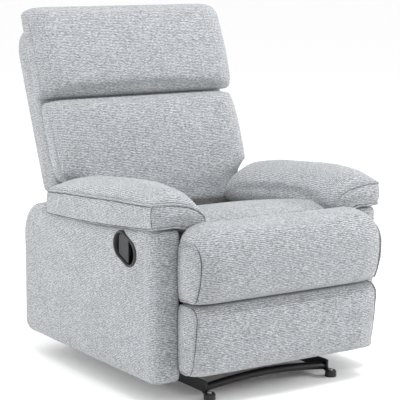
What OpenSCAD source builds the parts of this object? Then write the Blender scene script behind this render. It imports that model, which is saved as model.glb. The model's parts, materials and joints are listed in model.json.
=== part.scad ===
// Recliner armchair: sitter faces -Y, +Z is up, the origin is on the floor under the middle
// of the chair. All sizes are in millimetres.

/* [Arms] */
// Half of the distance between the two arms' inner faces
arm_in = 294; // [280:1:310]
// Thickness of one upholstered arm
arm_t = 86; // [80:1:110]
// Distance of the arms' front face from the origin
arm_front = 392; // [380:1:400]
// Distance of the arms' rear face from the origin
arm_rear = 372; // [365:1:376]
// Height of the arms' bottom edge above the floor
arm_bottom = 58; // [50:1:70]
// Height of the arm top under the middle of the pad
arm_top = 452; // [445:1:455]
// Height of the arm pad's crown
pad_top = 592; // [580:1:600]
// Thickness of the plywood panel inside each arm
panel_t = 18; // [12:1:20]

/* [Seat] */
// Half width of the seat cushion
seat_half = 286; // [270:1:288]
// Height of the seat cushion's crown at the front
seat_top = 500; // [480:1:501]
// Height of the seat cushion's crown at the backrest
seat_rear_top = 425; // [415:1:450]
// Height of the seat cushion's underside at the front
seat_under = 404; // [400:1:410]
// Distance of the seat cushion's front face from the origin
seat_front = 378; // [370:1:379]

/* [Backrest] */
// Backrest tilt from the vertical at rest
back_tilt = 21.3; // [19:0.1:22]
// Half width of the rear shell
shell_half = 330; // [320:1:335]
// Length of the rear shell along the backrest
shell_len = 523; // [500:1:525]
// Half width of the head cushion
head_half = 348; // [330:1:350]
// Half width of the lumbar cushion above the arms
lumbar_half = 338; // [330:1:340]
// Depth of the cushions in front of the frame
cushion_t = 66; // [55:1:68]

/* [Footrest] */
// Half width of the footrest pads
foot_half = 306; // [295:1:306]
// Distance of the footrest pads' back face from the origin
foot_back = 396; // [395:1:400]
// Height of the seam between the two footrest pads
foot_seam = 282; // [275:1:290]
// Height of the lower pad's bottom edge
foot_bottom = 81; // [75:1:90]

/* [Mechanism] */
// Length of each footrest link between its pivots
link_len = 200; // [198:1:202]
// Angle of the upper link above the horizontal at rest
upper_angle = 75; // [74:1:76]
// Length of the torque tube's crank
crank_len = 60; // [55:1:62]
// Thickness of the linkage steel
steel_t = 4; // [3.5:0.5:4]
// Radius of the pivot rivets
rivet_r = 4; // [3.5:0.5:4.5]
// Radial clearance in the running pivots
run_gap = 0.05; // [0.02:0.01:0.09]

/* [Base] */
// Half of the distance between the two base rails
rail_x = 208; // [200:1:212]
// Height of the floor glides
glide_h = 14; // [12:1:16]
// Radius of the floor glides
glide_r = 16.5; // [15:0.5:18]

/* [Hidden] */
$fn = 64;

arm_out = arm_in + arm_t;

// Pivots, as [y, z]
plate_pivot = [-300, 310];
tube_pivot = [-100, 180];
back_pivot = [200, 330];
latch_pivot = [-40, 214];
link_pivot = plate_pivot - [0, link_len];
foot_pivot = link_pivot + link_len * [-cos(upper_angle), sin(upper_angle)];
rod_pin = plate_pivot - [0, crank_len];
crank_pin = tube_pivot - [0, crank_len];

// Layers of the mechanism, as distances from the middle plane
plate_x = 236;
link_x = plate_x + steel_t + 1.5;
outer_x = link_x + steel_t + 1.5;
link_w = 12;
tube_r = 12;
head_t = 1.1;

// Backrest frame, in the backrest's own tilted frame
back_origin = [0, 253, 541];
frame_q = 20;
frame_d = 56;
stile_x = 266;
stile_w = 22;
stile_low = -110;
stile_high = 470;
head_low = 236;
head_high = 528;
lumbar_low = -15;
lumbar_high = 230;
neck_low = -150;

// Slope of the seat springs down towards the backrest
spring_fall = 3.6;

// Release handle, on the right arm
handle_at = [-250.7, 411.7];
handle_tilt = 22;
handle_r = 36.5;
handle_half = 20;
handle_depth = 28;
cable_at = [-235, 395];
handle_wall = 3;
paddle_hinge_y = -218;
paddle_front_y = -268;
paddle_x = arm_out - 4;
paddle_pin_z = handle_at[1] + handle_half * sin(handle_tilt);

bolt_end = arm_in + 26 + panel_t;
bolt_spots = [[-260, 370], [-60, 370], [120, 370]];
spacer_spots = [[-180, 32], [180, 32]];
glide_spots = [-401, 310];

// A part drawn in the side view (y to the right, z up), from x0 to x0 + t
module side(x0, t) {
    translate([x0, 0, 0]) rotate([90, 0, 90]) linear_extrude(t) children();
}

// The same part on both sides of the chair: s is 1 on the left and -1 on the right
module on_side(s) {
    if (s > 0) children();
    else mirror([1, 0, 0]) children();
}

// A flat bar with round ends between two points, w being its half width
module bar(a, b, w) {
    d = b - a;
    translate(a) rotate(atan2(d[1], d[0])) {
        circle(w);
        translate([norm(d), 0]) circle(w);
        translate([0, -w]) square([norm(d), 2 * w]);
    }
}

module hole(p, r) {
    translate(p) circle(r);
}

// A rectangle with rounded corners, between two opposite corners
module round_rect(a, b, r) {
    translate([a[0] + r, a[1]]) square([b[0] - a[0] - 2 * r, b[1] - a[1]]);
    translate([a[0], a[1] + r]) square([b[0] - a[0], b[1] - a[1] - 2 * r]);
    for (x = [a[0] + r, b[0] - r], y = [a[1] + r, b[1] - r]) translate([x, y]) circle(r);
}

// A rivet along x from x0 to x0 + len with a head at each end
module rivet(p, x0, len, r) {
    side(x0 - head_t, head_t) hole(p, r * 1.8);
    side(x0, len) hole(p, r);
    side(x0 + len, head_t) hole(p, r * 1.8);
}

// The chair's box stands centred on the origin, a little forward of where its pieces are drawn
module centred() {
    translate([0, -16, 0]) children();
}

// The backrest's tilted frame: z runs up the backrest and y runs backwards
module tilted() {
    translate(back_origin) rotate([-back_tilt, 0, 0]) children();
}

// A board in the backrest, drawn from the front (x to the right, z up), from depth q to q + d
module back_board(q, d) {
    tilted() translate([0, q + d, 0]) rotate([90, 0, 0]) linear_extrude(d) children();
}

// ---- Base ----

module base_rail(s) {
    color([0.08, 0.08, 0.09]) on_side(s) {
        difference() {
            side(rail_x - 3, 6) {
                translate([-386, glide_h]) square([386 + glide_spots[1] - glide_r, 31]);
                polygon([[-330, 44], [-240, 44], [-150, 96], [-186, 96]]);
            }
            translate([rail_x - 4, 0, 0]) for (p = spacer_spots)
                translate([0, p[0], p[1]]) rotate([0, 90, 0]) cylinder(r = 4, h = 8);
        }
        for (y = glide_spots) difference() {
            translate([0, 0, glide_h]) union() {
                translate([rail_x, y, 0]) cylinder(r = glide_r - 2, h = 4);
                translate([rail_x - 9, min(y, y - sign(y) * 22), 0]) cube([18, 22, 4]);
            }
            translate([rail_x, y, glide_h - 1]) cylinder(r = 4, h = 6);
        }
    }
}

module front_cross_bar() {
    rise = 15;
    half = rail_x - 3;
    bend = (half * half + rise * rise) / (2 * rise);
    turn = 2 * asin(half / bend);
    color([0.08, 0.08, 0.09]) difference() {
        translate([0, -372, 22 + rise + 3 - bend]) rotate([90, 0, 0])
            rotate([0, 0, 90 - turn / 2]) rotate_extrude(angle = turn, $fn = 256)
                translate([bend, 0]) circle(11);
        for (s = [-1, 1]) translate([s * (half + 15), -372, 25]) cube([30, 60, 60], center = true);
    }
}

module rear_cross_bar() {
    color([0.08, 0.08, 0.09]) translate([-rail_x + 3, 270, 30]) rotate([0, 90, 0])
        cylinder(r = 11, h = 2 * rail_x - 6);
}

module glide_feet() {
    color([0.12, 0.12, 0.12]) for (s = [-1, 1], y = glide_spots) translate([s * rail_x, y, 0])
        difference() {
            cylinder(r = glide_r, h = glide_h);
            translate([0, 0, 4]) cylinder(r = 4, h = glide_h);
        }
}

module glide_bolts() {
    color([0.5, 0.5, 0.52]) for (s = [-1, 1], y = glide_spots) translate([s * rail_x, y, 0]) {
        translate([0, 0, 4]) cylinder(r = 4, h = glide_h + 1);
        translate([0, 0, glide_h + 4]) cylinder(r = 6.5, h = 4, $fn = 6);
    }
}

module base_spacers() {
    color([0.5, 0.5, 0.52]) for (s = [-1, 1], p = spacer_spots) on_side(s) {
        side(rail_x + 3, plate_x - rail_x - 3) hole(p, 9);
        side(rail_x - 3, 6) hole(p, 4);
        side(rail_x - 7, 4) hole(p, 7);
    }
}

// ---- Arms ----

// Side outline of an arm, grown inwards by d
module arm_outline(d) {
    corner = 35;
    polygon([
        [-arm_front + d, arm_bottom + d], [arm_rear - corner, arm_bottom + d],
        [arm_rear - d, arm_bottom + corner], [arm_rear - d, 380],
        [340, 426 - d], [262, 466 - d], [236, 466 - d], [225, 449 - d],
        [-90, arm_top - d], [-arm_front + d, 484 - d]
    ]);
    translate([arm_rear - corner, arm_bottom + corner]) circle(corner - d);
}

// Plywood panel inside the arm
module arm_board() {
    side(arm_in + 26, panel_t) arm_outline(24);
}

module arm_bolt_cut() {
    side(arm_in - 30, bolt_end - arm_in + 30) for (p = bolt_spots) hole(p, 4);
}

module arm_panel(s) {
    color([0.75, 0.6, 0.42]) on_side(s) difference() {
        arm_board();
        arm_bolt_cut();
        if (s < 0) cable_cut();
    }
}

module arm_cover(s) {
    color([0.68, 0.72, 0.75]) on_side(s) difference() {
        side(arm_in, arm_t) arm_outline(0);
        arm_board();
        arm_bolt_cut();
        if (s < 0) {
            side(arm_out - handle_depth, handle_depth + 1) handle_oval(0);
            cable_cut();
        }
    }
}

module arm_pad(s) {
    shoulder = 24;
    inner = 222;
    color([0.7, 0.74, 0.77]) on_side(s) {
        translate([0, -arm_front, 0]) rotate([90, 0, 180]) mirror([1, 0, 0])
            linear_extrude(542) polygon([
                [inner, 504], [arm_in - 4, 504], [arm_in - 4, 503], [344, 503], [344, pad_top - 8],
                [330, pad_top], [300, pad_top], [inner + 36, pad_top - shoulder], [inner + 4, 536]
            ]);
        side(arm_in - 4, 54) polygon([
            [-arm_front, 484.5], [-90, arm_top + 0.5], [150, arm_top - 1], [150, 504], [-arm_front, 504]
        ]);
        side(344, 42) polygon([
            [-arm_front, 484.5], [-90, arm_top + 0.5], [218, 450], [218, 500], [190, 545],
            [100, 572], [-300, 582], [-380, 575], [-arm_front, 555]
        ]);
    }
}

// ---- Seat box ----

module seat_side_rail(s) {
    color([0.75, 0.6, 0.42]) on_side(s) difference() {
        translate([272, -376, 345]) cube([arm_in - 272, 591, 50]);
        arm_bolt_cut();
    }
}

module seat_front_rail() {
    color([0.75, 0.6, 0.42]) translate([-272, -376, 352]) cube([544, 20, 43]);
}

module seat_rear_rail() {
    color([0.75, 0.6, 0.42]) translate([-268, 150, 345]) cube([536, 20, 50]);
}

// Sinuous springs from the front rail to the rear rail
module seat_springs() {
    pitch = 32;
    sway = 20;
    turns = 15;
    wire = 2;
    color([0.55, 0.56, 0.58]) for (x = [-180, -60, 60, 180]) translate([x, -350, 392])
    rotate([-spring_fall, 0, 0]) {
        for (i = [0:turns]) translate([-sway, i * pitch, 0]) rotate([0, 90, 0])
            cylinder(r = wire, h = 2 * sway, $fn = 16);
        for (i = [0:turns - 1]) translate([i % 2 == 0 ? sway : -sway, (i + 0.5) * pitch, 0])
            rotate([0, 0, i % 2 == 0 ? -90 : 90]) rotate_extrude(angle = 180, $fn = 24)
                translate([pitch / 2, 0]) circle(wire, $fn = 16);
    }
}

// The seat falls towards the backrest, and sinks between the side rails as it does
module seat_cushion() {
    rear = 138;
    fall = (seat_front + rear) * tan(spring_fall);
    color([0.7, 0.74, 0.77]) difference() {
        side(-seat_half, 2 * seat_half) offset(20) offset(-20) polygon([
            [-seat_front, seat_under], [rear, seat_under - fall], [rear, seat_rear_top],
            [-90, 477], [-280, seat_top], [-seat_front, seat_top]
        ]);
        for (s = [-1, 1]) on_side(s) translate([262, -400, 340]) cube([30, 600, 56]);
    }
}

module hinge_plate(s) {
    color([0.2, 0.2, 0.22]) on_side(s) difference() {
        side(268, steel_t) {
            translate([176, back_pivot[1]]) square([39, 57]);
            bar([190, back_pivot[1]], back_pivot, 15);
        }
        side(267, 6) hole(back_pivot, 5);
    }
}

// The pins that the backrest turns on
module hinge_bolts() {
    color([0.5, 0.5, 0.52]) for (s = [-1, 1]) on_side(s) {
        side(262, 10) hole(back_pivot, 5);
        side(258.5, 3.5) hole(back_pivot, 8);
        side(272, 4) hole(back_pivot, 8);
    }
}

module rear_rail() {
    color([0.75, 0.6, 0.42]) translate([-arm_in, 330, 300]) cube([2 * arm_in, 20, 50]);
}

module rear_panel() {
    color([0.62, 0.66, 0.7]) translate([-arm_in, 350, 62]) cube([2 * arm_in, 14, 290]);
}

module arm_bolts() {
    color([0.5, 0.5, 0.52]) for (s = [-1, 1], p = bolt_spots) on_side(s) {
        side(268, 4) hole(p, 8);
        side(272, bolt_end - 272) hole(p, 4);
    }
}

// ---- Release handle, drawn on the left and mirrored to the right arm ----

module handle_oval(d) {
    translate(handle_at) rotate(handle_tilt) {
        translate([-handle_half, 0]) circle(handle_r - d);
        translate([handle_half, 0]) circle(handle_r - d);
        translate([-handle_half, -handle_r + d]) square([2 * handle_half, 2 * (handle_r - d)]);
    }
}

module cable_cut() {
    side(arm_in - 1, arm_t - handle_depth + 2) hole(cable_at, 3.5);
}

module handle_bezel() {
    color([0.1, 0.1, 0.1]) on_side(-1) difference() {
        union() {
            side(arm_out - handle_depth, handle_depth) handle_oval(0);
            side(arm_out, 2) handle_oval(1.5);
        }
        side(arm_out - handle_depth + handle_wall, handle_depth) handle_oval(handle_wall + 3);
        side(arm_out - handle_depth - 1, handle_wall + 2) hole(cable_at, 3.5);
        translate([paddle_x - 2, paddle_hinge_y, paddle_pin_z]) cylinder(r = 2, h = 60, center = true);
    }
}

module handle_pin() {
    color([0.5, 0.5, 0.52]) on_side(-1) translate([paddle_x - 2, paddle_hinge_y, paddle_pin_z])
        cylinder(r = 2, h = 58, center = true);
}

module release_paddle() {
    color([0.22, 0.22, 0.23]) on_side(-1) difference() {
        union() {
            side(paddle_x, 4) intersection() {
                handle_oval(handle_wall + 5);
                translate([paddle_front_y, 340]) square([paddle_hinge_y - paddle_front_y, 120]);
            }
            translate([paddle_x - 2, paddle_hinge_y, paddle_pin_z])
                cylinder(r = 5, h = 30, center = true);
        }
        translate([paddle_x - 2, paddle_hinge_y, paddle_pin_z])
            cylinder(r = 2 + run_gap, h = 60, center = true);
    }
}

// Sheathed cable from the handle cup through the arm towards the latch
module release_cable() {
    color([0.1, 0.1, 0.1]) on_side(-1)
        side(arm_in, arm_t - handle_depth) hole(cable_at, 3);
}

// ---- Mechanism ----

module mech_plate(s) {
    color([0.12, 0.12, 0.13]) on_side(s) {
        side(plate_x, steel_t) difference() {
            polygon([
                [-322, 300], [-314, 326], [-286, 341], [190, 341], [190, 300], [60, 150],
                [196, 46], [196, 18], [-196, 18], [-196, 46], [-150, 140], [-210, 210]
            ]);
            hole(plate_pivot, rivet_r);
            hole(tube_pivot, tube_r + run_gap);
            if (s < 0) hole(latch_pivot, rivet_r);
            for (p = spacer_spots) hole(p, 4);
        }
        translate([plate_x, -180, 341]) cube([arm_in - plate_x, 350, 4]);
    }
}

module plate_rivets() {
    color([0.6, 0.6, 0.62]) for (s = [-1, 1]) on_side(s)
        rivet(plate_pivot, plate_x, link_x + steel_t - plate_x + 0.4, rivet_r);
}

module lower_link(s) {
    color([0.14, 0.14, 0.15]) on_side(s) side(link_x, steel_t) difference() {
        bar(plate_pivot, link_pivot, link_w);
        hole(plate_pivot, rivet_r + run_gap);
        hole(rod_pin, rivet_r);
        hole(link_pivot, rivet_r);
    }
}

module link_rivets() {
    color([0.6, 0.6, 0.62]) for (s = [-1, 1]) on_side(s) {
        rivet(link_pivot, link_x, outer_x + steel_t - link_x + 0.4, rivet_r);
        rivet(rod_pin, link_x, outer_x + steel_t - link_x + 0.4, rivet_r);
    }
}

module upper_link(s) {
    color([0.14, 0.14, 0.15]) on_side(s) side(outer_x, steel_t) difference() {
        bar(link_pivot, foot_pivot, link_w);
        hole(link_pivot, rivet_r + run_gap);
        hole(foot_pivot, rivet_r);
    }
}

module footrest_rivets() {
    color([0.6, 0.6, 0.62]) for (s = [-1, 1]) on_side(s)
        rivet(foot_pivot, link_x - 0.4, outer_x + steel_t - link_x + 0.4, rivet_r);
}

module footrest_bracket(s) {
    board_back = foot_back - 14;
    bracket_z = 262;
    bracket_h = 80;
    color([0.14, 0.14, 0.15]) on_side(s) {
        side(link_x, steel_t) difference() {
            union() {
                translate([-board_back + 3, bracket_z]) square([30, bracket_h]);
                bar([-board_back + 14, foot_pivot[1]], foot_pivot, 11);
            }
            hole(foot_pivot, rivet_r + run_gap);
        }
        translate([link_x - 26, -board_back, bracket_z]) cube([26 + steel_t, 3, bracket_h]);
    }
}

module footrest_board() {
    color([0.75, 0.6, 0.42]) translate([-282, -foot_back, 104]) cube([564, 14, 350]);
}

module footrest_upper_pad() {
    color([0.7, 0.74, 0.77]) side(-foot_half, 2 * foot_half)
        round_rect([-505, foot_seam + 4], [-foot_back, 499], 50);
}

module footrest_lower_pad() {
    color([0.7, 0.74, 0.77]) side(-foot_half, 2 * foot_half)
        round_rect([-487, foot_bottom], [-foot_back, foot_seam - 4], 30);
}

module torque_tube() {
    end = link_x + steel_t;
    color([0.3, 0.3, 0.32]) {
        side(-end, 2 * end) hole(tube_pivot, tube_r);
        for (s = [-1, 1]) on_side(s) side(link_x, steel_t) difference() {
            bar(tube_pivot, crank_pin, link_w + 3);
            hole(crank_pin, rivet_r);
        }
        side(-plate_x + 5, 5) hole(tube_pivot, 26);
    }
}

module crank_rivets() {
    color([0.6, 0.6, 0.62]) for (s = [-1, 1]) on_side(s)
        rivet(crank_pin, link_x, outer_x + steel_t - link_x + 0.4, rivet_r);
}

// The front eye is 1 mm larger than its pin, because the linkage is opened there
module drive_rod(s) {
    color([0.3, 0.3, 0.32]) on_side(s) side(outer_x, steel_t) difference() {
        bar(crank_pin, rod_pin, 8);
        hole(crank_pin, rivet_r + run_gap);
        hole(rod_pin, rivet_r + 1);
    }
}

module latch_lever() {
    color([0.3, 0.3, 0.32]) on_side(-1) side(plate_x - 7, 5) difference() {
        bar(latch_pivot, latch_pivot + [-33, -9], 8);
        hole(latch_pivot, rivet_r + run_gap);
    }
}

module latch_bolt() {
    color([0.6, 0.6, 0.62]) on_side(-1) rivet(latch_pivot, plate_x - 7.4, steel_t + 7.4, rivet_r);
}

// ---- Backrest ----

module back_stile(s) {
    color([0.75, 0.6, 0.42]) on_side(s) tilted()
        translate([stile_x, frame_q, stile_low]) cube([stile_w, frame_d, stile_high - stile_low]);
}

module back_top_rail() {
    color([0.75, 0.6, 0.42]) back_board(frame_q, frame_d)
        translate([-stile_x, stile_high - 60]) square([2 * stile_x, 60]);
}

module back_bottom_rail() {
    color([0.75, 0.6, 0.42]) back_board(frame_q + 16, 20)
        translate([-262, -60]) square([524, 60]);
}

// Elastic straps that carry the cushions
module back_webbing() {
    color([0.2, 0.2, 0.22]) back_board(frame_q + 12, 3)
        for (x = [-200, -100, 0, 100, 200]) translate([x - 25, -58]) square([50, stile_high - 2]);
}

module back_bracket(s) {
    color([0.2, 0.2, 0.22]) on_side(s) side(262, steel_t) difference() {
        union() {
            polygon([[187, 334], [212, 322], [276, 414], [305, 512], [275, 524], [234, 430]]);
            hole(back_pivot, 14);
        }
        hole(back_pivot, 5 + run_gap);
    }
}

module back_shell() {
    wall = 12;
    deep = 100;
    color([0.64, 0.68, 0.71]) difference() {
        back_board(9, deep) round_rect([-shell_half, lumbar_low - 4], [shell_half, shell_len - 19], 46);
        back_board(0, deep - wall + 9)
            round_rect([-shell_half + wall, -200], [shell_half - wall, shell_len - 19 - wall], 36);
    }
}

module head_cushion() {
    color([0.7, 0.74, 0.77]) back_board(-cushion_t + 6, cushion_t)
        round_rect([-head_half, head_low], [head_half, head_high], 46);
}

module lumbar_cushion() {
    color([0.7, 0.74, 0.77]) back_board(-cushion_t + 6, cushion_t) {
        round_rect([-lumbar_half, lumbar_low], [lumbar_half, lumbar_high], 34);
        round_rect([-280, neck_low], [280, 60], 30);
    }
}

centred() base_rail(1);  // base_rail_left
centred() base_rail(-1);  // base_rail_right
centred() front_cross_bar();
centred() rear_cross_bar();
centred() glide_feet();
centred() glide_bolts();
centred() base_spacers();
centred() mech_plate(1);  // mech_plate_left
centred() mech_plate(-1);  // mech_plate_right
centred() plate_rivets();
centred() arm_panel(1);  // arm_panel_left
centred() arm_panel(-1);  // arm_panel_right
centred() arm_cover(1);  // arm_cover_left
centred() arm_cover(-1);  // arm_cover_right
centred() arm_pad(1);  // arm_pad_left
centred() arm_pad(-1);  // arm_pad_right
centred() seat_side_rail(1);  // seat_side_rail_left
centred() seat_side_rail(-1);  // seat_side_rail_right
centred() seat_front_rail();
centred() seat_rear_rail();
centred() seat_springs();
centred() seat_cushion();
centred() hinge_plate(1);  // hinge_plate_left
centred() hinge_plate(-1);  // hinge_plate_right
centred() hinge_bolts();
centred() rear_rail();
centred() rear_panel();
centred() arm_bolts();
centred() handle_bezel();
centred() handle_pin();
centred() release_paddle();
centred() release_cable();
centred() latch_lever();
centred() latch_bolt();
centred() lower_link(1);  // lower_link_left
centred() lower_link(-1);  // lower_link_right
centred() link_rivets();
centred() upper_link(1);  // upper_link_left
centred() upper_link(-1);  // upper_link_right
centred() footrest_rivets();
centred() footrest_bracket(1);  // footrest_bracket_left
centred() footrest_bracket(-1);  // footrest_bracket_right
centred() footrest_board();
centred() footrest_upper_pad();
centred() footrest_lower_pad();
centred() torque_tube();
centred() crank_rivets();
centred() drive_rod(1);  // drive_rod_left
centred() drive_rod(-1);  // drive_rod_right
centred() back_stile(1);  // back_stile_left
centred() back_stile(-1);  // back_stile_right
centred() back_top_rail();
centred() back_bottom_rail();
centred() back_webbing();
centred() back_shell();
centred() back_bracket(1);  // back_bracket_left
centred() back_bracket(-1);  // back_bracket_right
centred() head_cushion();
centred() lumbar_cushion();
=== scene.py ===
import json
import math

import bmesh
import bpy
from mathutils import Matrix, Vector
from mathutils.bvhtree import BVHTree
from mathutils.kdtree import KDTree


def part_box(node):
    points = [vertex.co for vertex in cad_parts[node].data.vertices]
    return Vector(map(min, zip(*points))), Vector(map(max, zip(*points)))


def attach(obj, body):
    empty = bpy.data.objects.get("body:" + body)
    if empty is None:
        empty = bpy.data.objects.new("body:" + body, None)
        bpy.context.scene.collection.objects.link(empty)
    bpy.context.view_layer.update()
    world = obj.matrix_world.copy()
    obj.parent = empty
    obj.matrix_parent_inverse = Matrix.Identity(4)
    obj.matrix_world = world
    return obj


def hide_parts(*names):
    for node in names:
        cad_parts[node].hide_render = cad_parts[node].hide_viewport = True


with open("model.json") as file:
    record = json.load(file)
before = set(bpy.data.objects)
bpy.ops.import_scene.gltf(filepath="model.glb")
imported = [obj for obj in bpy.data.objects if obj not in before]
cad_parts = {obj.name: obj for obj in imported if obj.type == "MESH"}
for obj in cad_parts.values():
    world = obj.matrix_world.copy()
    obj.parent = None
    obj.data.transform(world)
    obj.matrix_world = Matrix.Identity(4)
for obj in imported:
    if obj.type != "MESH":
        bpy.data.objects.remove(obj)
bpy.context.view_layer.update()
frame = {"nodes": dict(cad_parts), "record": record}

# Sizes that more than one piece uses, in metres
BACK_TILT = math.radians(21.3)  # the backrest's lean at rest
BACK_ORIGIN = Vector((0, 0.253, 0.541))  # where the backrest's own frame has its zero
VOXEL, FINE_VOXEL = 0.008, 0.006  # mesh size of a cushion, and of one with tight corners
PIPING = 0.0030  # radius of the piping
SHADOW_LINE_RADIUS = 0.0013  # radius of the dark line of painted shadow beside it
ROW = 0.0046  # height of one woven row
SWELL_STEPS = 20  # frames that a cushion is simulated for
BASE_SWELL = 0.5  # the share of its crown that a cushion has before it is simulated
SINK = 0.3  # how far the simulation may pull a crown in, as a share of it
PULL_IN = 0.002  # how far the simulation may slide the cloth along itself
TILTED = Matrix.Translation(BACK_ORIGIN) @ Matrix.Rotation(-BACK_TILT, 4, "X")
# The pieces are drawn in the part's layout, then all moved by this, which centres the chair
CENTRING = Vector((0, -0.016, 0))
MADE = []  # every piece made here, in order


def box(node):
    """A node's lowest and highest corners, where the pieces are drawn."""
    return [Vector(corner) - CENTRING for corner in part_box(node)]


# ---- Camera, lights and floor ----

def make_camera():
    """The photograph's viewpoint, from the chair's front right."""
    azimuth, elevation = math.radians(-32.902), math.radians(9.4135)
    back = Vector((
        math.sin(azimuth) * math.cos(elevation),
        -math.cos(azimuth) * math.cos(elevation),
        math.sin(elevation),
    ))
    data = bpy.data.cameras.new("camera")
    data.sensor_width, data.lens = 36, 135.35
    data.clip_start, data.clip_end = 0.1, 60
    camera = bpy.data.objects.new("camera", data)
    bpy.context.collection.objects.link(camera)
    camera.location = (-2.37944, -3.72529, 1.20661)
    camera.rotation_mode = "QUATERNION"
    camera.rotation_quaternion = (-back).to_track_quat("-Z", "Y")
    bpy.context.scene.camera = camera


def make_light(name, place, size, power):
    """A square lamp of this size and power (W), aimed at the chair's middle."""
    data = bpy.data.lights.new(name, "AREA")
    data.size, data.energy = size, power
    lamp = bpy.data.objects.new(name, data)
    bpy.context.collection.objects.link(lamp)
    lamp.location = place
    aim = Vector((0, 0, 0.5)) - Vector(place)
    lamp.rotation_mode = "QUATERNION"
    lamp.rotation_quaternion = aim.to_track_quat("-Z", "Y")


def make_studio():
    """Soft lamps and a white floor and surround."""
    make_light("top", (0.2, -1.0, 3.8), 1.8, 100)
    make_light("side", (-3.8, 0.6, 1.4), 1.2, 72)
    make_light("front", (3.6, -2.0, 1.4), 1.1, 105)
    make_light("rear", (0.5, 3.4, 2.6), 2.4, 30)
    world = bpy.data.worlds.new("world")
    world.use_nodes = True
    world.node_tree.nodes["Background"].inputs["Color"].default_value = (1, 1, 1, 1)
    world.node_tree.nodes["Background"].inputs["Strength"].default_value = 1.0
    bpy.context.scene.world = world
    bpy.context.scene.view_settings.view_transform = "Standard"
    bpy.ops.mesh.primitive_plane_add(size=160, location=(0, 0, 0))
    floor = bpy.context.object
    floor.name = "floor"
    paint = plain("floor_paint", (0.98, 0.98, 0.98), 0.9, metallic=0, scale=40, depth=0, spread=0.0)
    floor.data.materials.append(paint)


# ---- Materials ----

def new_material(name):
    material = bpy.data.materials.new(name)
    material.use_nodes = True
    tree = material.node_tree
    return material, tree, tree.nodes["Principled BSDF"]


def add(tree, kind, **sockets):
    node = tree.nodes.new(kind)
    for key, value in sockets.items():
        node.inputs[key].default_value = value
    return node


def noise(tree, coordinates, scale, detail=2.0, rough=0.5):
    """Noise with spots about 1/scale across."""
    node = add(tree, "ShaderNodeTexNoise", Scale=scale, Detail=detail, Roughness=rough)
    tree.links.new(coordinates, node.inputs["Vector"])
    return node.outputs["Fac"]


def stretched(tree, coordinates, scale):
    """The coordinates times scale, so that noise is long where scale is small."""
    node = add(tree, "ShaderNodeMapping")
    node.inputs["Scale"].default_value = scale
    tree.links.new(coordinates, node.inputs["Vector"])
    return node.outputs["Vector"]


def maths(tree, operation, a, b):
    node = tree.nodes.new("ShaderNodeMath")
    node.operation = operation
    for socket, value in zip(node.inputs, (a, b)):
        if isinstance(value, (int, float)):
            socket.default_value = value
        else:
            tree.links.new(value, socket)
    return node.outputs[0]


def mix(tree, factor, a, b):
    """a where factor is 0 and b where it is 1."""
    node = tree.nodes.new("ShaderNodeMix")
    tree.links.new(factor, node.inputs[0])
    tree.links.new(a, node.inputs[2])
    tree.links.new(b, node.inputs[3])
    return node.outputs[0]


def ramp(tree, factor, *stops):
    """A colour for factor, through (place, colour) stops."""
    node = tree.nodes.new("ShaderNodeValToRGB")
    while len(node.color_ramp.elements) < len(stops):
        node.color_ramp.elements.new(0.5)
    for element, (place, colour) in zip(node.color_ramp.elements, stops):
        element.position = place
        element.color = (*colour, 1)
    tree.links.new(factor, node.inputs["Fac"])
    return node.outputs["Color"]


def bump(tree, shader, height, strength, distance):
    node = add(tree, "ShaderNodeBump", Strength=strength, Distance=distance)
    tree.links.new(height, node.inputs["Height"])
    tree.links.new(node.outputs["Normal"], shader.inputs["Normal"])


def rows(tree, point, upright):
    """Level rows of yarn, which run across the cloth on top faces too."""
    split = tree.nodes.new("ShaderNodeSeparateXYZ")
    tree.links.new(point, split.inputs["Vector"])
    wobble = maths(tree, "MULTIPLY", noise(tree, point, 60, 2), 0.006)
    phases = []
    for axis in ("Y", "Z"):
        place = maths(tree, "ADD", split.outputs[axis], wobble)
        phases.append(maths(tree, "SINE", maths(tree, "MULTIPLY", place, 2 * math.pi / ROW), 0))
    return mix(tree, upright, *phases)


def heather(name, dark, mid, light):
    """Chenille woven in level rows: slubs lie along the rows, which turn the corner with the cloth."""
    material, tree, shader = new_material(name)
    place = tree.nodes.new("ShaderNodeTexCoord")
    split = tree.nodes.new("ShaderNodeSeparateXYZ")
    tree.links.new(place.outputs["Normal"], split.inputs["Vector"])
    sideways = maths(tree, "GREATER_THAN", maths(tree, "ABSOLUTE", split.outputs["X"], 0), 0.7)
    upright = maths(tree, "LESS_THAN", maths(tree, "ABSOLUTE", split.outputs["Z"], 0), 0.75)
    point = place.outputs["Object"]
    slubs = [
        noise(tree, stretched(tree, point, scale), 1.0, 3, 0.6)
        for scale in ((120, 420, 420), (420, 120, 420))
    ]
    grain = mix(tree, sideways, *slubs)
    speckle = noise(tree, point, 520, 2, 0.6)
    clouds = noise(tree, point, 14, 3, 0.55)
    total = 0.0
    for source, weight in ((grain, 0.72), (speckle, 0.42), (clouds, 0.06),
                           (rows(tree, point, upright), 0.085)):
        total = maths(tree, "ADD", maths(tree, "MULTIPLY", source, weight), total)
    colour = ramp(tree, total, (0.42, dark), (0.585, mid), (0.76, light))
    tree.links.new(colour, shader.inputs["Base Color"])
    shader.inputs["Roughness"].default_value = 0.92
    shader.inputs["Specular IOR Level"].default_value = 0.2
    shader.inputs["Sheen Weight"].default_value = 0.2
    shader.inputs["Sheen Roughness"].default_value = 0.6
    bump(tree, shader, total, 0.5, 0.004)
    return material


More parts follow.
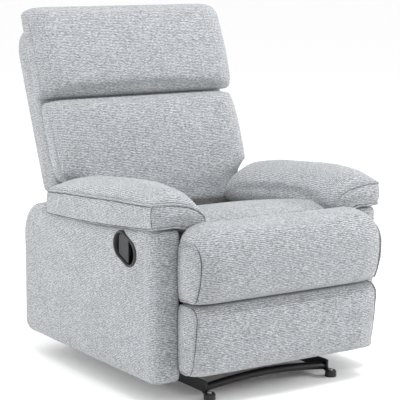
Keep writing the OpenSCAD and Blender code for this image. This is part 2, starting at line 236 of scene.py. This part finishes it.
def plain(name, colour, roughness, metallic, scale, depth, spread=0.12):
    """Paint, plastic or metal, mottled by spread, with a fine grain of this depth."""
    material, tree, shader = new_material(name)
    point = tree.nodes.new("ShaderNodeTexCoord").outputs["Object"]
    coarse = noise(tree, point, scale, 3)
    low = [c * (1 - spread) for c in colour]
    high = [min(1, c * (1 + spread)) for c in colour]
    tree.links.new(ramp(tree, coarse, (0.35, low), (0.65, high)), shader.inputs["Base Color"])
    rough = maths(tree, "ADD", maths(tree, "MULTIPLY", coarse, 0.16), roughness - 0.08)
    tree.links.new(rough, shader.inputs["Roughness"])
    shader.inputs["Metallic"].default_value = metallic
    if depth:
        bump(tree, shader, noise(tree, point, scale * 14, 2), depth, 0.001)
    return material


def timber(name):
    """Sawn softwood with its grain along x."""
    material, tree, shader = new_material(name)
    point = tree.nodes.new("ShaderNodeTexCoord").outputs["Object"]
    grain = noise(tree, stretched(tree, point, (4, 60, 60)), 1.0, 5, 0.6)
    pores = noise(tree, stretched(tree, point, (30, 500, 500)), 1.0, 2, 0.6)
    total = maths(tree, "ADD", maths(tree, "MULTIPLY", grain, 0.8), maths(tree, "MULTIPLY", pores, 0.2))
    colour = ramp(tree, total, (0.35, (0.33, 0.19, 0.09)), (0.5, (0.52, 0.34, 0.18)),
                  (0.7, (0.66, 0.47, 0.28)))
    tree.links.new(colour, shader.inputs["Base Color"])
    shader.inputs["Roughness"].default_value = 0.7
    bump(tree, shader, total, 0.3, 0.001)
    return material


CLOTH = heather("cloth", (0.082, 0.087, 0.093), (0.225, 0.236, 0.248), (0.45, 0.465, 0.48))
PIPE_CLOTH = heather("piping_cloth", (0.08, 0.085, 0.09), (0.21, 0.22, 0.232), (0.42, 0.435, 0.45))
# Dark thread for the stitches. The same dark material is also the painted shadow line beside the piping.
THREAD_AND_SHADOW = plain("thread_and_painted_shadow", (0.06, 0.067, 0.075), 0.8, 0, 300, 0.2)
BLACK_STEEL = plain("black_steel", (0.014, 0.014, 0.015), 0.38, 0.4, 60, 0.12)
ZINC = plain("zinc", (0.42, 0.43, 0.44), 0.35, 1.0, 80, 0.1)
BLACK_PLASTIC = plain("black_plastic", (0.011, 0.011, 0.012), 0.5, 0, 240, 0.25)
GREY_PLASTIC = plain("grey_plastic", (0.018, 0.019, 0.021), 0.6, 0, 240, 0.25)
RUBBER = plain("rubber", (0.02, 0.02, 0.02), 0.75, 0, 120, 0.2)
DUST_CLOTH = heather("dust_cloth", (0.085, 0.10, 0.115), (0.25, 0.28, 0.30), (0.50, 0.54, 0.56))
WEBBING = plain("webbing", (0.03, 0.03, 0.033), 0.85, 0, 400, 0.5)
TIMBER = timber("timber")


# ---- Mesh tools ----

def mesh_object(name, points, faces):
    data = bpy.data.meshes.new(name)
    data.from_pydata([tuple(p) for p in points], [], faces)
    data.validate()
    piece = bpy.data.objects.new(name, data)
    bpy.context.collection.objects.link(piece)
    return piece


def tidy_normals(piece):
    work = bmesh.new()
    work.from_mesh(piece.data)
    bmesh.ops.recalc_face_normals(work, faces=work.faces)
    work.to_mesh(piece.data)
    work.free()


def shade(piece, caps_flat=False):
    """Smooth shading, where caps_flat leaves every face that isn't a quad flat."""
    for polygon in piece.data.polygons:
        polygon.use_smooth = not caps_flat or len(polygon.vertices) == 4


def loft(name, rings):
    """A closed body through rings of the same number of points."""
    count = len(rings[0])
    points = [p for ring in rings for p in ring]
    faces = [list(range(count)), list(range(len(points) - count, len(points)))]
    for k in range(len(rings) - 1):
        for i in range(count):
            j = (i + 1) % count
            faces.append([k * count + i, k * count + j, (k + 1) * count + j, (k + 1) * count + i])
    piece = mesh_object(name, points, faces)
    tidy_normals(piece)
    return piece


def rounded(corners, steps=5):
    """The closed outline through corners (a, b, radius), each corner an arc of steps pieces."""
    outline = []
    total = len(corners)
    for i, (a, b, radius) in enumerate(corners):
        here = Vector((a, b))
        before = Vector(corners[i - 1][:2]) - here
        after = Vector(corners[(i + 1) % total][:2]) - here
        reach = min(radius, before.length * 0.48, after.length * 0.48)
        start, end = here + before.normalized() * reach, here + after.normalized() * reach
        for k in range(steps + 1):
            t = k / steps
            outline.append(start * (1 - t) ** 2 + here * 2 * t * (1 - t) + end * t * t)
    return outline


def spread(outline, count):
    """count points at equal steps along a closed outline."""
    ring = list(outline) + [outline[0]]
    lengths = [0.0]
    for p, q in zip(ring, ring[1:]):
        lengths.append(lengths[-1] + (q - p).length)
    points, k = [], 0
    for i in range(count):
        target = lengths[-1] * i / count
        while lengths[k + 1] < target:
            k += 1
        part = (target - lengths[k]) / max(lengths[k + 1] - lengths[k], 1e-9)
        points.append(ring[k].lerp(ring[k + 1], part))
    return points


def between(ring_a, ring_b, t):
    return [p.lerp(q, t) for p, q in zip(ring_a, ring_b)]


def apply_modifiers(piece):
    bpy.context.view_layer.update()
    graph = bpy.context.evaluated_depsgraph_get()
    done = bpy.data.meshes.new_from_object(piece.evaluated_get(graph))
    piece.modifiers.clear()
    piece.data = done


def remesh(piece, voxel):
    """Even faces of about voxel's size, with the edges eased."""
    step = piece.modifiers.new("remesh", "REMESH")
    step.mode, step.voxel_size = "VOXEL", voxel
    smooth = piece.modifiers.new("smooth", "SMOOTH")
    smooth.factor, smooth.iterations = 0.5, 2
    apply_modifiers(piece)


def inflate(piece, pressure):
    """Lets the piece swell as closed cloth under pressure, with no weight."""
    scene = bpy.context.scene
    cloth = piece.modifiers.new("cloth", "CLOTH")
    cloth.settings.quality = 5
    cloth.settings.use_pressure = True
    cloth.settings.uniform_pressure_force = pressure
    cloth.settings.effector_weights.gravity = 0
    cloth.point_cache.frame_start, cloth.point_cache.frame_end = 1, SWELL_STEPS
    for number in range(1, SWELL_STEPS + 1):
        scene.frame_set(number)
    apply_modifiers(piece)
    scene.frame_set(1)


def seam_tree(seams):
    """A lookup of the distance to the nearest seam."""
    points = [p for seam in seams for p in dense(seam, 0.004)]
    tree = KDTree(len(points))
    for i, p in enumerate(points):
        tree.insert(p, i)
    tree.balance()
    return tree


def dense(path, step):
    """The same path with points no further apart than step."""
    points = []
    for p, q in zip(path, path[1:]):
        count = max(1, int((q - p).length / step))
        points.extend(p.lerp(q, k / count) for k in range(count))
    return points + [path[-1]]


def soften(piece, seams, cap, hold, groove, pressure=4.0, voxel=VOXEL, relax=4):
    """Swells a body under pressure by up to cap, held down within hold of its seams, and sews them in."""
    remesh(piece, voxel)
    first = [v.co.copy() for v in piece.data.vertices]
    outward = [v.normal.copy() for v in piece.data.vertices]
    tree = seam_tree(seams)
    inflate(piece, pressure)
    moved = [v.co.copy() for v in piece.data.vertices]
    for vertex, old, new, normal in zip(piece.data.vertices, first, moved, outward):
        limit = cap * min(1.0, tree.find(old)[2] / hold)
        step = new - old
        swell = max(-SINK * limit, min(limit * (1 - BASE_SWELL), step.dot(normal)))
        rise = limit * BASE_SWELL + swell
        slide = step - normal * step.dot(normal)
        if slide.length > PULL_IN:
            slide *= PULL_IN / slide.length
        vertex.co = old + normal * rise + slide
    smooth = piece.modifiers.new("smooth", "SMOOTH")
    smooth.factor, smooth.iterations = 0.5, relax
    finer = piece.modifiers.new("finer", "SUBSURF")
    finer.levels = finer.render_levels = 1
    apply_modifiers(piece)
    sew(piece, tree, groove)
    shade(piece)


def sew(piece, tree, depth, width=0.006):
    """Draws the surface in along its seams."""
    normals = [v.normal.copy() for v in piece.data.vertices]
    for vertex, normal in zip(piece.data.vertices, normals):
        away = tree.find(vertex.co)[2]
        if away < width * 3:
            vertex.co -= normal * depth * math.exp(-((away / width) ** 2))


def snapped(piece, path, step=0.008, lift=0.0):
    """The path laid on the piece's surface and evened out."""
    surface = BVHTree.FromPolygons(
        [v.co for v in piece.data.vertices], [list(p.vertices) for p in piece.data.polygons]
    )
    points = []
    for p in dense(path, step):
        place, normal = surface.find_nearest(p)[:2]
        points.append(place + normal * lift)
    for _ in range(3):
        middle = [(a + 2 * b + c) / 4 for a, b, c in zip(points, points[1:], points[2:])]
        points = [points[0], *middle, points[-1]]
    return points


def tube(name, path, radius, material, body):
    """A round tube of mesh along a path."""
    curve = bpy.data.curves.new(name, "CURVE")
    curve.dimensions, curve.bevel_depth, curve.bevel_resolution = "3D", radius, 3
    curve.use_fill_caps = True
    spline = curve.splines.new("POLY")
    spline.points.add(len(path) - 1)
    for point, place in zip(spline.points, path):
        point.co = (*place, 1)
    holder = bpy.data.objects.new(name + "_curve", curve)
    bpy.context.collection.objects.link(holder)
    bpy.context.view_layer.update()
    graph = bpy.context.evaluated_depsgraph_get()
    data = bpy.data.meshes.new_from_object(holder.evaluated_get(graph))
    bpy.data.objects.remove(holder)
    piece = bpy.data.objects.new(name, data)
    bpy.context.collection.objects.link(piece)
    shade(piece)
    dress(piece, material, body)


def piped(piece, name, path, radius, body, sign=1, towards=None, aside=None):
    """Piping laid on a seam, and a dark line of painted shadow beside it, both mirrored if sign is -1."""
    cord = snapped(piece, path, lift=radius * 0.5)
    beside = [p + ((towards - p).normalized() * radius * 1.35 if towards else aside) for p in path]
    fold = snapped(piece, beside, lift=0.0002)
    # The second tube is painted shadow: a dark line along the piping where its shade falls.
    for label, line, thickness, material in (
        ("piping", cord, radius, PIPE_CLOTH), ("fold", fold, SHADOW_LINE_RADIUS, THREAD_AND_SHADOW),
    ):
        line = line if sign > 0 else flipped(line)
        tube(f"{name}_{label}", line, thickness, material, body)


def dress(piece, material, body):
    """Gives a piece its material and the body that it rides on."""
    piece.data.materials.clear()
    piece.data.materials.append(material)
    MADE.append(piece)
    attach(piece, body)


def turn_over(piece):
    """Mirrors a piece's mesh to the chair's other side."""
    for vertex in piece.data.vertices:
        vertex.co.x *= -1
    piece.data.flip_normals()


def mirrored(piece, name):
    """A copy of the piece on the chair's other side."""
    twin = piece.copy()
    twin.data = piece.data.copy()
    twin.name = name
    bpy.context.collection.objects.link(twin)
    turn_over(twin)
    return twin


def flipped(path):
    return [Vector((-p.x, p.y, p.z)) for p in path]


# ---- Arms ----

ARM_IN, ARM_FRONT, ARM_LOW = box("arm_cover_left")[0]
ARM_OUT, ARM_REAR = box("arm_cover_left")[1].xy
ARM_CORNER = 0.026  # radius of the front outer corner


def arm_side(inset, front):
    """The arm's side outline (y, z), drawn inwards by inset, and by front at its front edge."""
    return rounded([
        (ARM_FRONT + front, ARM_LOW + inset, 0.012), (ARM_REAR - inset, ARM_LOW + inset, 0.035),
        (ARM_REAR - inset, 0.400, 0.05), (0.315, 0.458 - inset, 0.09), (0.236, 0.468 - inset, 0.012),
        (0.224, 0.447 - inset, 0.006), (-0.09, 0.450 - inset, 0.1),
        (ARM_FRONT + front, 0.480 - inset, 0.006),
    ])


def make_arm(side):
    """An arm's side, drawn on the left. The right one has the handle's pocket."""
    width, corner = ARM_OUT - ARM_IN, ARM_CORNER
    rings = []
    for x, inset, front in [
        (0, 0.003, 0.002), (0.004, 0.0, 0.0), (width - corner, 0.0, 0.0),
        (width - corner * 0.62, 0.0, corner * 0.08), (width - corner * 0.29, 0.0, corner * 0.29),
        (width - corner * 0.08, 0.002, corner * 0.62), (width, 0.008, corner),
    ]:
        rings.append([Vector((ARM_IN + x, p.x, p.y)) for p in spread(arm_side(inset, front), 220)])
    piece = loft("arm_cover_" + side, rings)
    crease = [
        Vector((ARM_OUT - 0.001, ARM_FRONT + 0.052, z)) for z in (0.455, 0.3, 0.16, ARM_LOW + 0.01)
    ]
    soften(piece, [crease], cap=0.004, hold=0.05, pressure=2.0, groove=0.0016)
    if side == "right":
        turn_over(piece)
        cut_pocket(piece)
    shade(piece)
    dress(piece, CLOTH, "seat_box")
    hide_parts("arm_cover_" + side)


# The handle's slanted oval, in the side view (y, z)
HANDLE = box("handle_bezel")
HANDLE_AT = Vector(((HANDLE[0].y + HANDLE[1].y) / 2, (HANDLE[0].z + HANDLE[1].z) / 2))
HANDLE_TILT = math.radians(22)
HANDLE_R = 0.0390  # radius of its round ends
HANDLE_HALF = 0.021  # from its middle to each end's centre
HANDLE_FACE = -ARM_OUT
HANDLE_DEPTH = HANDLE[1].x - HANDLE_FACE
PADDLE_ROOM = 0.0085  # from the cup's outline to the paddle's


def handle_oval(inset, steps=14):
    """The handle's outline, drawn inwards by inset."""
    outline = []
    for end, start in ((-1, 90), (1, -90)):
        centre = HANDLE_AT + Vector((math.cos(HANDLE_TILT), math.sin(HANDLE_TILT))) * HANDLE_HALF * end
        for k in range(steps + 1):
            angle = HANDLE_TILT + math.radians(start) + math.pi * k / steps
            outline.append(centre + Vector((math.cos(angle), math.sin(angle))) * (HANDLE_R - inset))
    return outline


def oval_ring(x, inset):
    return [Vector((x, p.x, p.y)) for p in handle_oval(inset)]


def cut_pocket(piece):
    ends = (HANDLE_FACE - 0.03, HANDLE_FACE + HANDLE_DEPTH)
    cutter = loft("pocket", [oval_ring(x, 0.0008) for x in ends])
    cut = piece.modifiers.new("pocket", "BOOLEAN")
    cut.operation, cut.object, cut.solver = "DIFFERENCE", cutter, "EXACT"
    apply_modifiers(piece)
    bpy.data.objects.remove(cutter)


def make_handle():
    """A moulded cup with a raised lip, and a dished paddle in it."""
    face, floor = HANDLE_FACE, HANDLE_FACE + HANDLE_DEPTH
    profile = [
        (floor - 0.0005, 0.001), (face + 0.0005, -0.001), (face - 0.0065, 0.0), (face - 0.0085, 0.0022),
        (face - 0.0085, 0.0042), (face - 0.0065, 0.0060), (face + 0.004, 0.0068),
        (floor - 0.006, 0.0085), (floor - 0.0035, 0.011),
    ]
    cup = loft("handle_cup", [oval_ring(x, inset) for x, inset in profile])
    shade(cup, caps_flat=True)
    dress(cup, BLACK_PLASTIC, "seat_box")
    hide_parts("handle_bezel")
    low, high = box("release_paddle")
    outline = [p for p in spread(handle_oval(PADDLE_ROOM), 120) if low.y < p.x < high.y - 0.002]
    flat = low.x - 0.0030
    middle = sum(outline, Vector((0, 0))) / len(outline)

    def ring(x, inset):
        return [Vector((x, *(p + (middle - p).normalized() * inset))) for p in outline]

    plate = loft("paddle", [
        ring(flat + 0.0055, 0.0012), ring(flat + 0.0045, 0.0), ring(flat + 0.0015, 0.0),
        ring(flat + 0.0003, 0.0012), ring(flat, 0.003), ring(flat + 0.0003, 0.008),
        ring(flat + 0.0015, 0.013),
    ])
    shade(plate, caps_flat=True)
    dress(plate, GREY_PLASTIC, "paddle")
    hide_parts("release_paddle")


# ---- Arm pads ----

PAD_FRONT = ARM_FRONT - 0.003
PAD_REAR = 0.162  # y of the inner rear corner
PAD_TIP = 0.210  # x of the inner edge, over the seat
PAD_EDGE = 0.3835  # x of the outer edge
PAD_STEP, PAD_STEPS = 0.012, 46  # between sections along the pad, and how many of them
PAD_TAIL, PAD_TAIL_FROM = 0.060, 0.335  # the outer rear corner's reach past the inner one, from this x
PANEL_STEPS = 26  # points across the top panel


def along(y, *stops):
    """The value at y on straight lines through (y, value) stops, level past their ends."""
    for (y0, v0), (y1, v1) in zip(stops, stops[1:]):
        if y <= y1:
            t = max(0.0, min(1.0, (y - y0) / (y1 - y0)))
            return v0 + (v1 - v0) * t
    return stops[-1][1]


def pad_low(y):
    """Height of the pad's lower edge, which follows the arm's top."""
    return along(y, (-0.392, 0.4815), (-0.19, 0.4625), (-0.03, 0.4500), (0.13, 0.4420), (0.22, 0.4400))


def pad_seam(y):
    """Height of the piped seam along the outer edge."""
    return along(y, (-0.394, 0.5500), (-0.29, 0.543), (-0.2, 0.5395), (0.05, 0.522), (0.22, 0.505))


def pad_crown(y):
    """How far the top panel swells above its base."""
    return along(y, (PAD_FRONT, 0.006), (-0.375, 0.024), (-0.34, 0.040), (-0.26, 0.049), (0.0, 0.046),
                 (0.12, 0.036), (PAD_REAR, 0.018))


def pad_section(y, x):
    """Height of the top panel's base, which drops from the outer seam towards the seat."""
    part = (PAD_EDGE - x) / (PAD_EDGE - PAD_TIP)
    drop = 0.022 * part + 0.028 * part ** 6
    return pad_seam(y) - drop


def pad_top_point(y, part):
    """A point on the top panel, where part runs from 0 at the outer edge to 1 at the inner one."""
    x = PAD_EDGE + (PAD_TIP - PAD_EDGE) * part
    lift = pad_crown(y) * math.sin(math.pi * part ** 0.85) ** 0.75
    return Vector((x, y, pad_section(y, x) + lift))


def pad_ring(y, shrink=1.0):
    """The pad's section at y: lower outer corner, outer side, top panel, then round under the tip."""
    low = pad_low(y) + 0.001
    tip = pad_seam(y) - 0.050
    ring = [Vector((PAD_EDGE - 0.0015, y, low)), Vector((PAD_EDGE + 0.001, y, (low + pad_seam(y)) / 2))]
    ring += [pad_top_point(y, k / PANEL_STEPS) for k in range(PANEL_STEPS + 1)]
    ring += [
        Vector((PAD_TIP + 0.002, y, tip - 0.012)), Vector((PAD_TIP + 0.010, y, tip - 0.021)),
        Vector((PAD_TIP + 0.022, y, tip - 0.0255)), Vector((ARM_IN - 0.012, y, tip - 0.0255)),
        Vector((ARM_IN + 0.004, y, max(low, tip - 0.024))), Vector((ARM_IN + 0.04, y, low)),
    ]
    middle = Vector((0.31, y, (low + pad_seam(y)) / 2))
    ring = [middle + (p - middle) * shrink for p in ring]
    for p in ring:
        reach = max(0.0, (p.x - PAD_TAIL_FROM) / (PAD_EDGE - PAD_TAIL_FROM))
        p.y += PAD_TAIL * reach * max(0.0, min(1.0, (y + 0.05) / 0.2))
    return ring


def make_pads():
    """The left pad, its mirror image, and the piping and stitching of both."""
    rings = [pad_ring(PAD_FRONT + PAD_STEP * k) for k in range(PAD_STEPS)]
    top = [ring[2] for ring in rings]
    for back, shrink in ((0.008, 0.985), (0.002, 0.95), (0, 0.90)):
        rings.append(pad_ring(PAD_REAR - back, shrink))
    pad = loft("arm_pad_left", rings)
    face = pad_ring(PAD_FRONT)
    centre = sum(face, Vector((0, 0, 0))) / len(face)
    edge = face[2:] + face[:1]
    soften(pad, [top, edge], cap=0.013, hold=0.05, pressure=3.0, groove=0.003, voxel=FINE_VOXEL, relax=2)
    corner = [p + Vector((0, 0.006, 0)) for p in face[:3]]
    lower = [Vector((PAD_EDGE, p.y, pad_low(p.y) + 0.002)) for p in top]
    for side, sign in (("left", 1), ("right", -1)):
        piece = pad if sign > 0 else mirrored(pad, "arm_pad_right")
        dress(piece, CLOTH, "seat_box")
        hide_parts("arm_pad_" + side)
        piped(pad, "pad_top_" + side, top, PIPING * 1.15, "seat_box", sign, aside=Vector((0, 0, -0.0048)))
        piped(pad, "pad_face_" + side, edge, PIPING * 1.15, "seat_box", sign, towards=centre)
        for label, path, radius in (("corner_stitch", corner, 0.0011), ("lower_seam", lower, 0.0010)):
            laid = snapped(pad, path, lift=radius * 0.5)
            laid = laid if sign > 0 else flipped(laid)
            tube(f"pad_{label}_{side}", laid, radius, THREAD_AND_SHADOW, "seat_box")


# ---- Seat ----

def as_drawn(point):
    return point


def eased(x, start, end):
    """1 up to start, falling on a quarter round to 0 at end."""
    if abs(x) <= start:
        return 1.0
    return math.sqrt(max(0.0, 1 - ((abs(x) - start) / (end - start)) ** 2))


def side_loft(name, full, end, half, start, place=as_drawn, count=160, slices=40):
    """A body from -half to half across the chair.

    Its side outline is full up to start either side of the middle, and turns into end at its ends.
    """
    wide, narrow = spread(rounded(full), count), spread(rounded(end), count)
    rings = []
    for k in range(slices + 1):
        x = half * math.sin(math.radians(-90 + 180 * k / slices))
        ring = between(narrow, wide, eased(x, start, half))
        rings.append([place(Vector((x, p.x, p.y))) for p in ring])
    return loft(name, rings)


def make_seat():
    low, high = box("seat_cushion")
    rear, front, half = high.y, low.y - 0.006, high.x - 0.004
    full = [
        (rear, low.z + 0.004, 0.02), (rear, 0.412, 0.05), (0.05, 0.431, 0.2), (-0.12, 0.468, 0.2),
        (-0.28, 0.494, 0.2), (front + 0.004, 0.489, 0.016), (front + 0.001, 0.45, 0.05),
        (front + 0.008, 0.408, 0.02),
    ]
    end = [
        (rear - 0.006, low.z + 0.008, 0.02), (rear - 0.006, 0.394, 0.04), (0.05, 0.408, 0.2),
        (-0.12, 0.438, 0.2), (-0.28, 0.458, 0.2), (front + 0.010, 0.455, 0.02),
        (front + 0.004, 0.44, 0.05), (front + 0.010, 0.410, 0.02),
    ]
    piece = side_loft("seat_cushion", full, end, half, start=0.04)
    seam = [Vector((x, front + 0.008, 0.486)) for x in (-0.2, 0, 0.2)]
    soften(piece, [seam], cap=0.016, hold=0.07, groove=0.0015)
    dress(piece, CLOTH, "seat_box")
    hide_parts("seat_cushion")


# ---- Footrest ----

def footrest_piece(name, full, end, start, cap):
    """A footrest pad, with piping down both ends of its front."""
    half = box(name)[1].x
    piece = side_loft(name, full, end, half, start)
    outline = spread(rounded(end), 160)
    front = [p for p in outline if p.x < full[0][0] - 0.012]
    first = max(range(len(front)), key=lambda i: (front[i] - front[i - 1]).length)
    front = front[first:] + front[:first]
    seams = [[Vector((s * half * 0.998, p.x, p.y)) for p in front] for s in (-1, 1)]
    soften(piece, seams, cap=cap, hold=0.06, groove=0.003, voxel=FINE_VOXEL, relax=2)
    dress(piece, CLOTH, "footrest")
    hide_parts(name)
    for s, seam, side in zip((-1, 1), seams, ("right", "left")):
        piped(piece, f"{name}_{side}", seam, PIPING, "footrest", aside=Vector((-s * 0.0045, -0.001, 0)))


def make_footrest():
    """Both pads, drawn with the footrest closed against the chair's front."""
    upper, lower = box("footrest_upper_pad"), box("footrest_lower_pad")
    back = upper[1].y + 0.004
    seam = (upper[0].z + lower[1].z) / 2
    low = lower[0].z
    footrest_piece("footrest_upper_pad", [
        (back, seam + 0.004, 0.01), (back, 0.455, 0.01), (back + 0.003, 0.487, 0.008), (-0.430, 0.492, 0.05),
        (-0.478, 0.470, 0.06), (-0.499, 0.42, 0.08), (-0.499, 0.355, 0.08), (-0.484, 0.305, 0.04),
        (-0.474, seam + 0.003, 0.012),
    ], [
        (back, seam + 0.005, 0.01), (back, 0.425, 0.01), (back - 0.006, 0.436, 0.02), (-0.430, 0.447, 0.03),
        (-0.482, 0.447, 0.03), (-0.504, 0.410, 0.05), (-0.500, 0.352, 0.06), (-0.482, 0.305, 0.03),
        (-0.474, seam + 0.008, 0.012),
    ], start=0.235, cap=0.014)
    footrest_piece("footrest_lower_pad", [
        (back, low + 0.006, 0.01), (back, seam - 0.004, 0.01), (-0.468, seam - 0.003, 0.012),
        (-0.484, 0.255, 0.03), (-0.484, 0.19, 0.08), (-0.479, 0.112, 0.06), (-0.462, low + 0.003, 0.02),
    ], [
        (back, low + 0.010, 0.01), (back, seam - 0.005, 0.01), (-0.466, seam - 0.006, 0.015),
        (-0.483, 0.258, 0.03), (-0.476, 0.19, 0.08), (-0.464, 0.118, 0.06), (-0.448, low + 0.008, 0.03),
    ], start=0.262, cap=0.009)


# ---- Backrest, in its own tilted frame: x across, q backwards, s up ----

HEAD_LOW, HEAD_HIGH = 0.2385, 0.525
LUMBAR_HIGH = 0.2285
BACK_FLAT = 0.285  # half of the width over which a back cushion has its full depth
SEAM = 0.0016  # radius of a back cushion's seam
NECK_TOP, NECK_REACH = 0.0, 0.05  # where the lumbar cushion starts to narrow, and over what height
NECK_TAPER = 0.180  # by how much of its width


def back_piece(name, full, end, seam, half, cap, shape=as_drawn):
    """A back cushion with a seam (q, s) down both ends, where shape bends it in the backrest's frame."""
    def place(point):
        return TILTED @ shape(point)

    piece = side_loft(name, full, end, half, BACK_FLAT, place, count=150, slices=44)
    seams = [[place(Vector((s * half, q, up))) for q, up in seam] for s in (-1, 1)]
    soften(piece, seams, cap=cap, hold=0.06, groove=0.0022)
    dress(piece, CLOTH, "backrest")
    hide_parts(name)
    for path, side in zip(seams, ("right", "left")):
        laid = snapped(piece, path, lift=0.0001)
        tube(f"{name}_seam_{side}", laid, SEAM, PIPE_CLOTH, "backrest")


def taper_lumbar(p):
    """Below the arm tops the cushion narrows to go down between the arms."""
    t = max(0.0, min(1.0, (NECK_TOP - p.z) / NECK_REACH))
    t = t * t * (3 - 2 * t)
    return Vector((p.x * (1 - t * NECK_TAPER), p.y, p.z))


def make_back():
    back_piece("head_cushion", [
        (0.006, HEAD_LOW + 0.002, 0.01), (-0.034, HEAD_LOW, 0.03), (-0.052, HEAD_LOW + 0.038, 0.04),
        (-0.060, 0.38, 0.12), (-0.052, HEAD_HIGH - 0.035, 0.05), (-0.026, HEAD_HIGH, 0.03),
        (0.006, HEAD_HIGH - 0.004, 0.01),
    ], [
        (0.006, HEAD_LOW + 0.004, 0.01), (-0.022, HEAD_LOW + 0.003, 0.02), (-0.036, HEAD_LOW + 0.03, 0.03),
        (-0.040, 0.38, 0.12), (-0.036, HEAD_HIGH - 0.045, 0.05), (-0.014, HEAD_HIGH - 0.016, 0.03),
        (0.006, HEAD_HIGH - 0.014, 0.01),
    ], seam=[
        (-0.030, HEAD_LOW + 0.02), (-0.038, 0.30), (-0.040, 0.38), (-0.038, 0.45),
        (-0.026, HEAD_HIGH - 0.022),
    ], half=0.345, cap=0.016)
    back_piece("lumbar_cushion", [
        (0.004, -0.146, 0.02), (-0.046, -0.144, 0.03), (-0.056, -0.03, 0.06), (-0.060, 0.08, 0.12),
        (-0.054, LUMBAR_HIGH - 0.045, 0.05), (-0.036, LUMBAR_HIGH - 0.001, 0.03),
        (0.004, LUMBAR_HIGH - 0.003, 0.01),
    ], [
        (0.004, -0.142, 0.02), (-0.030, -0.140, 0.03), (-0.042, -0.03, 0.06), (-0.044, 0.08, 0.12),
        (-0.038, LUMBAR_HIGH - 0.05, 0.05), (-0.024, LUMBAR_HIGH - 0.006, 0.03),
        (0.004, LUMBAR_HIGH - 0.006, 0.01),
    ], seam=[
        (-0.030, LUMBAR_HIGH - 0.02), (-0.040, 0.16), (-0.044, 0.08), (-0.042, 0.0), (-0.038, -0.06),
    ], half=0.336, cap=0.013, shape=taper_lumbar)


SHELL_LOW, SHELL_HIGH = -0.030, 0.501


def shell_ring(q, inset):
    """The rear shell's outline at depth q, drawn inwards by inset."""
    half = box("back_shell")[1].x - inset
    corners = [
        (-half, SHELL_LOW + inset, 0.008), (half, SHELL_LOW + inset, 0.008),
        (half, SHELL_HIGH - inset, 0.09), (-half, SHELL_HIGH - inset, 0.09),
    ]
    return [TILTED @ Vector((p.x, q, p.y)) for p in spread(rounded(corners, 10), 240)]


def make_shell():
    """The padded rear shell, piped round its rear edge."""
    brim = (0.100, 0.006)
    steps = [(0.010, 0.012), (0.012, 0.004), (0.018, 0.0), (0.060, 0.0), (0.088, 0.001), brim,
             (0.106, 0.014), (0.108, 0.026)]
    piece = loft("back_shell", [shell_ring(q, inset) for q, inset in steps])
    edge = shell_ring(*brim)
    edge.append(edge[0])
    soften(piece, [edge], cap=0.007, hold=0.06, pressure=2.0, groove=0.002)
    dress(piece, CLOTH, "backrest")
    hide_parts("back_shell")
    path = snapped(piece, edge, lift=0.0002)
    tube("shell_piping", path, PIPING * 0.9, PIPE_CLOTH, "backrest")


def make_rear_panel():
    """The thin cloth panel under the backrest, hemmed along its top."""
    low, high = box("rear_panel")
    half = high.x - 0.002
    rings = []
    for y, inset in [
        (low.y, 0.004), (low.y + 0.003, 0.0), (high.y - 0.005, 0.0), (high.y - 0.001, 0.004),
    ]:
        corners = [
            (-half + inset, low.z + inset, 0.008), (half - inset, low.z + inset, 0.008),
            (half - inset, high.z - inset, 0.008), (-half + inset, high.z - inset, 0.008),
        ]
        rings.append([Vector((p.x, y, p.y)) for p in spread(rounded(corners, 3), 200)])
    piece = loft("rear_panel", rings)
    hem = [Vector((x, high.y, high.z - 0.02)) for x in (-half, 0, half)]
    soften(piece, [hem], cap=0.003, hold=0.03, pressure=1.0, groove=0.0012, voxel=0.007)
    dress(piece, DUST_CLOTH, "seat_box")
    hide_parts("rear_panel")


# ---- CAD nodes that stay ----

LOOKS = {
    "black_steel": BLACK_STEEL, "zinc_steel": ZINC, "black_plastic": BLACK_PLASTIC,
    "grey_plastic": GREY_PLASTIC, "timber": TIMBER, "webbing": WEBBING, "cable_sheath": RUBBER,
    "upholstery": CLOTH, "dust_cloth": DUST_CLOTH,
}


def dress_frame():
    """Gives each CAD node the look of its material slot."""
    for part in frame["record"]["subparts"]:
        node = frame["nodes"][part["node"]]
        look = LOOKS[part["material_slot"]]
        if not node.material_slots:
            node.data.materials.append(look)
        for slot in node.material_slots:
            slot.material = look


make_camera()
make_studio()
dress_frame()
make_arm("left")
make_arm("right")
make_handle()
make_pads()
make_seat()
make_footrest()
make_back()
make_shell()
make_rear_panel()
for piece in MADE:
    for vertex in piece.data.vertices:
        vertex.co += CENTRING
